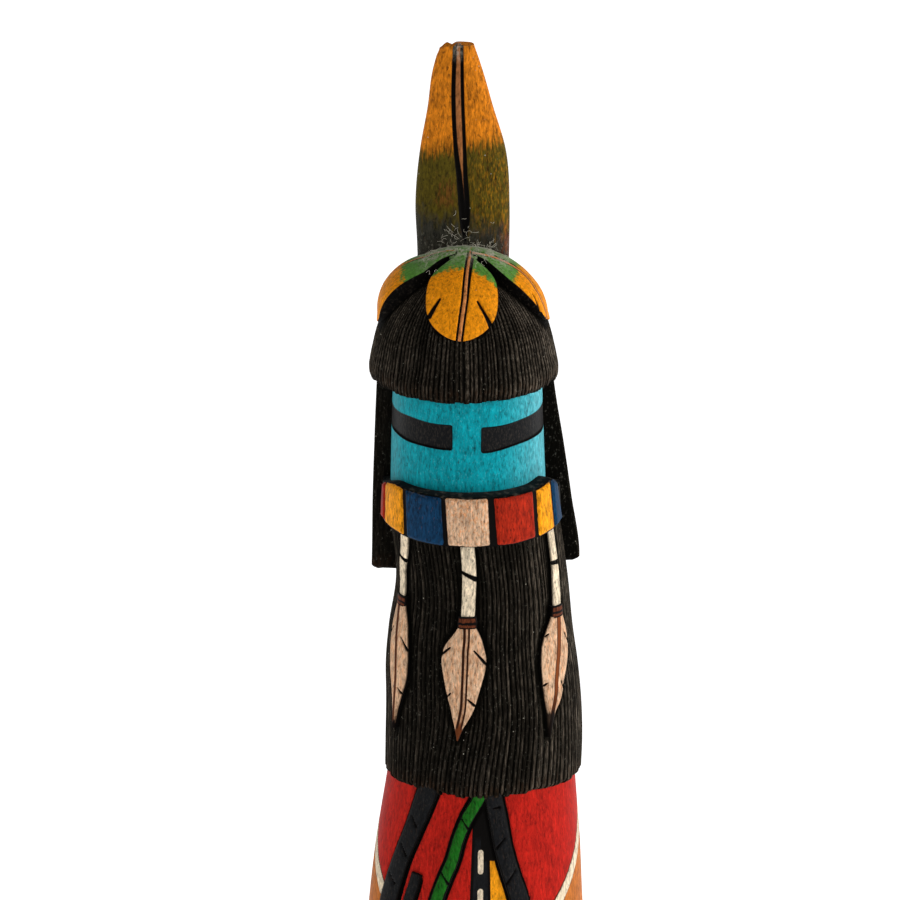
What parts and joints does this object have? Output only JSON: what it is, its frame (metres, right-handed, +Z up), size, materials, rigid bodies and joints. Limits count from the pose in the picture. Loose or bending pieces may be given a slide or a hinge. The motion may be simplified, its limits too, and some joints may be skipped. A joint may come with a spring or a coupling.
{
  "type": "kachina doll",
  "caption": "Carved and painted root-wood figure with masked head, tall feather, bead-like collar, long beard and robe, on a low round wooden base.",
  "frame": {"origin": "centre of the base's underside", "axes": "+Z up along the figure, -Y towards its mask, +X to the viewer's right"},
  "size_m": [0.088, 0.088, 0.301],
  "materials": {
    "painted_root": "carved cottonwood root in matt paint, red robe with raised bands, grain showing through",
    "hair_black": "finely grooved wood, burned and stained near black, dusty on its ridges",
    "mask_turquoise": "matt turquoise paint over vertical grain, with sunk black eye bands",
    "feather_paint": "matt orange, olive and cream paint on carved feathers with dark quills",
    "base_wood": "turned hardwood, dark stain under a thin satin oil"
  },
  "bodies": {
    "root": {"figure": "painted_root", "base": "base_wood"}
  },
  "joints": []
}
